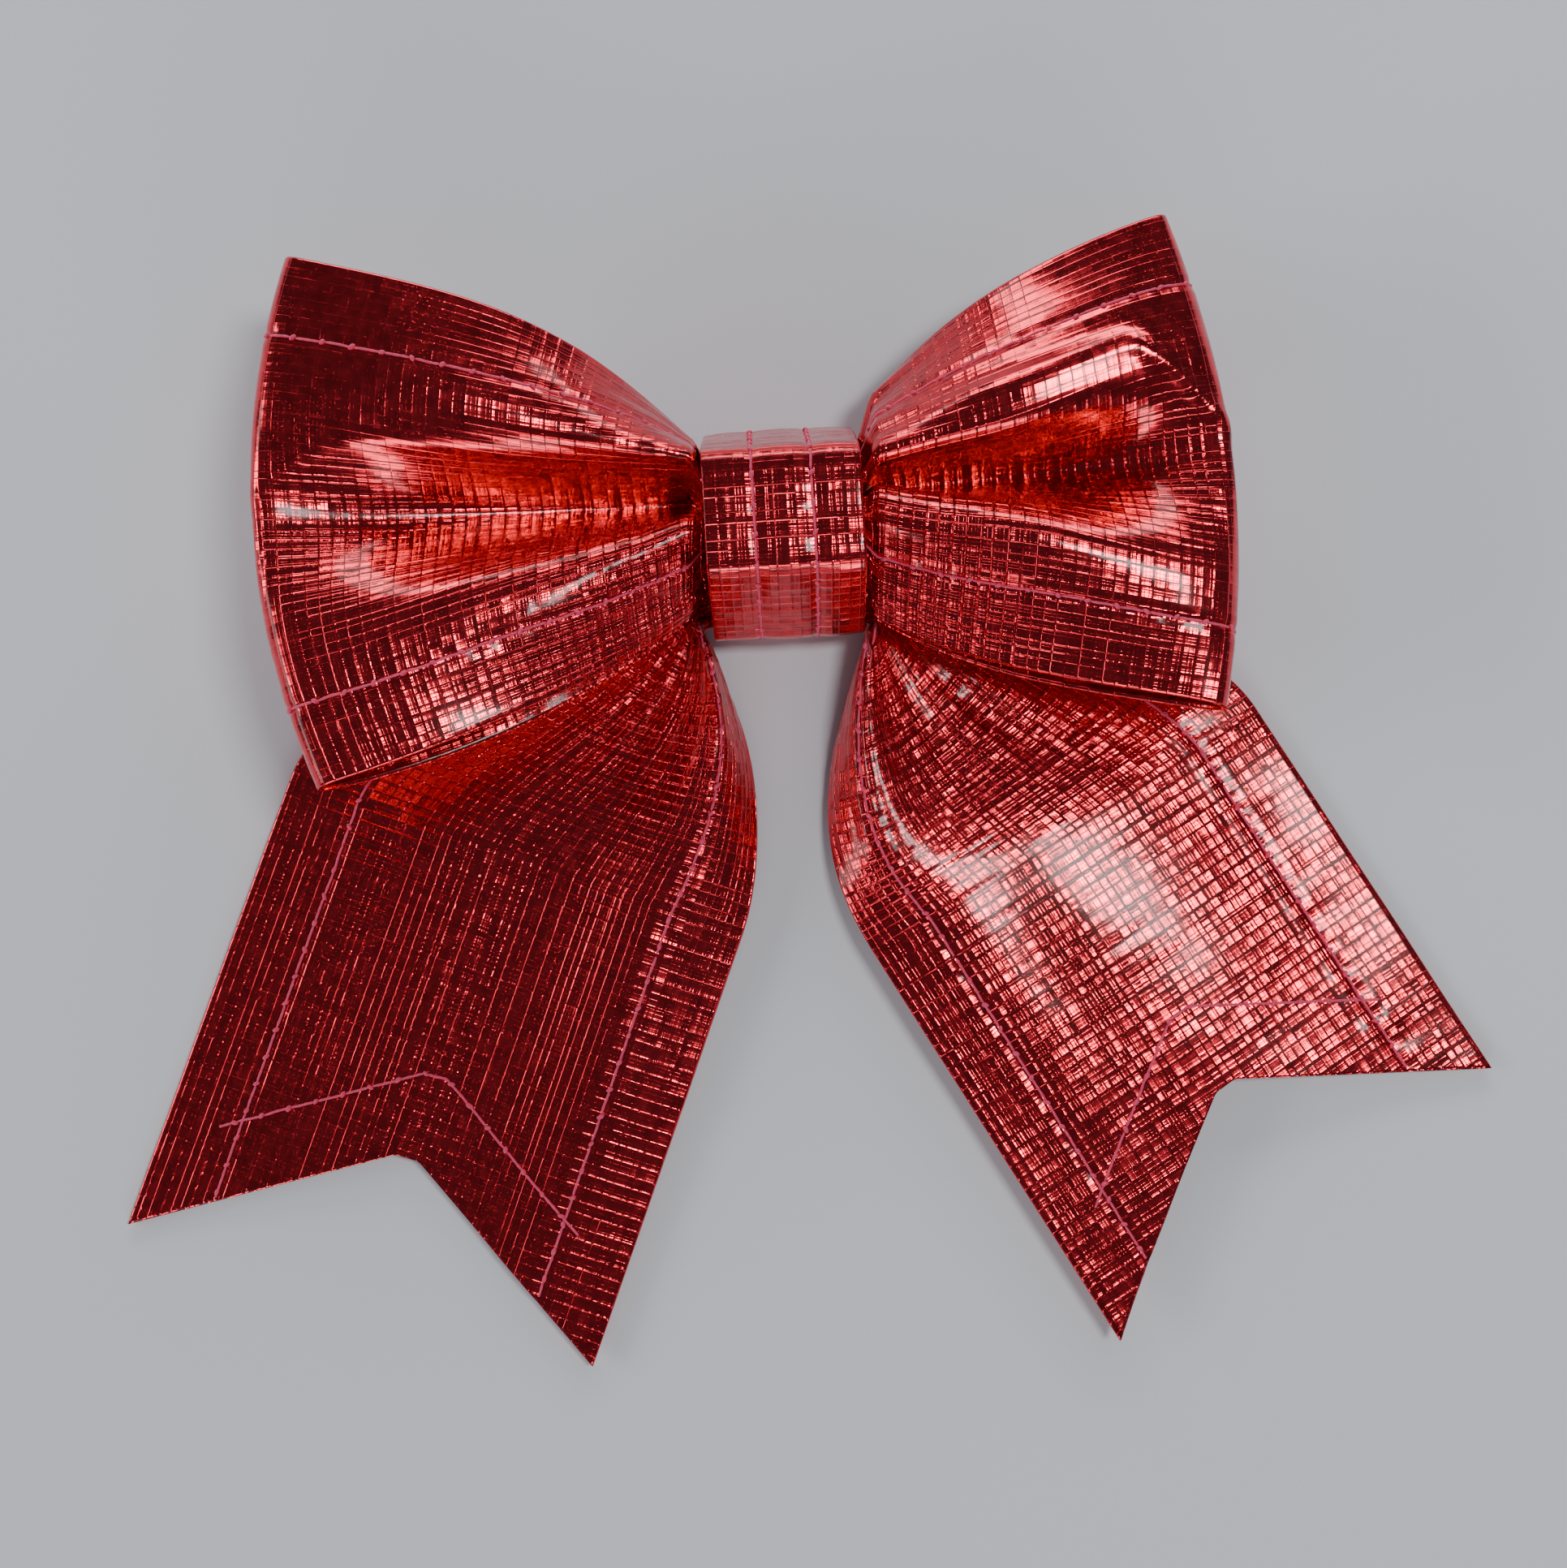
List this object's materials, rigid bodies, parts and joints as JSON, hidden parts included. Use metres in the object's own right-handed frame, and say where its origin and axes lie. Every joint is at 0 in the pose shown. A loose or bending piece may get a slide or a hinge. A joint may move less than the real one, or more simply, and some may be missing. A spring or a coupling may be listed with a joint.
{
  "type": "gift bow",
  "caption": "Pre-made gift bow: two gathered ribbon loops and two dovetail tails of hemmed metallic ribbon, held by a narrow band, with an adhesive pad behind.",
  "frame": {"origin": "under the middle of the knot, on the adhesive face of the pad", "axes": "+X to the bow's right, +Y to its top, +Z to its front"},
  "size_m": [0.1438, 0.1186, 0.0211],
  "materials": {
    "ribbon_foil": "metallic foil laminated on a woven ground, glossy, creased",
    "band_foil": "metallic foil laminated on a woven ground, glossy",
    "thread": "polyester sewing thread, satin",
    "tie_thread": "polyester thread, satin",
    "glue": "translucent hot-melt glue",
    "foam": "closed-cell foam",
    "adhesive": "tacky clear film"
  },
  "bodies": {
    "knot": {"knot_band": "band_foil", "knot_left_stitching": "thread", "knot_right_stitching": "thread", "knot_glue": "glue", "waist_tie": "tie_thread", "loop_waist": "ribbon_foil", "tail_waist": "ribbon_foil", "left_tail_neck": "ribbon_foil", "left_neck_inner_stitching": "thread", "left_neck_outer_stitching": "thread", "right_tail_neck": "ribbon_foil", "right_neck_inner_stitching": "thread", "right_neck_outer_stitching": "thread", "foam_pad": "foam", "pad_adhesive": "adhesive"},
    "left_loop": {"left_loop_ribbon": "ribbon_foil", "left_loop_top_stitching": "thread", "left_loop_bottom_stitching": "thread"},
    "left_tail": {"left_tail_ribbon": "ribbon_foil", "left_tail_inner_stitching": "thread", "left_tail_outer_stitching": "thread", "left_tail_end_stitching": "thread"},
    "right_loop": {"right_loop_ribbon": "ribbon_foil", "right_loop_top_stitching": "thread", "right_loop_bottom_stitching": "thread"},
    "right_tail": {"right_tail_ribbon": "ribbon_foil", "right_tail_inner_stitching": "thread", "right_tail_outer_stitching": "thread", "right_tail_end_stitching": "thread"}
  },
  "joints": [
    {"name": "left_loop_flex", "type": "hinge", "parent": "knot", "child": "left_loop", "pos_m": [-0.009, 0, 0.014], "axis": [0, 1, 0], "range_deg": [-2, 15], "stiffness_Nm_per_rad": 0.03},
    {"name": "right_loop_flex", "type": "hinge", "parent": "knot", "child": "right_loop", "pos_m": [0.009, 0, 0.014], "axis": [0, -1, 0], "range_deg": [-2, 15], "stiffness_Nm_per_rad": 0.03},
    {"name": "left_tail_lift", "type": "hinge", "parent": "knot", "child": "left_tail", "pos_m": [-0.03008, -0.03815, 0.005], "axis": [-0.9447, 0.328, 0], "range_deg": [0, 35], "stiffness_Nm_per_rad": 0.004},
    {"name": "right_tail_lift", "type": "hinge", "parent": "knot", "child": "right_tail", "pos_m": [0.03161, -0.0355, 0.005], "axis": [-0.8443, -0.5358, 0], "range_deg": [0, 35], "stiffness_Nm_per_rad": 0.004}
  ]
}
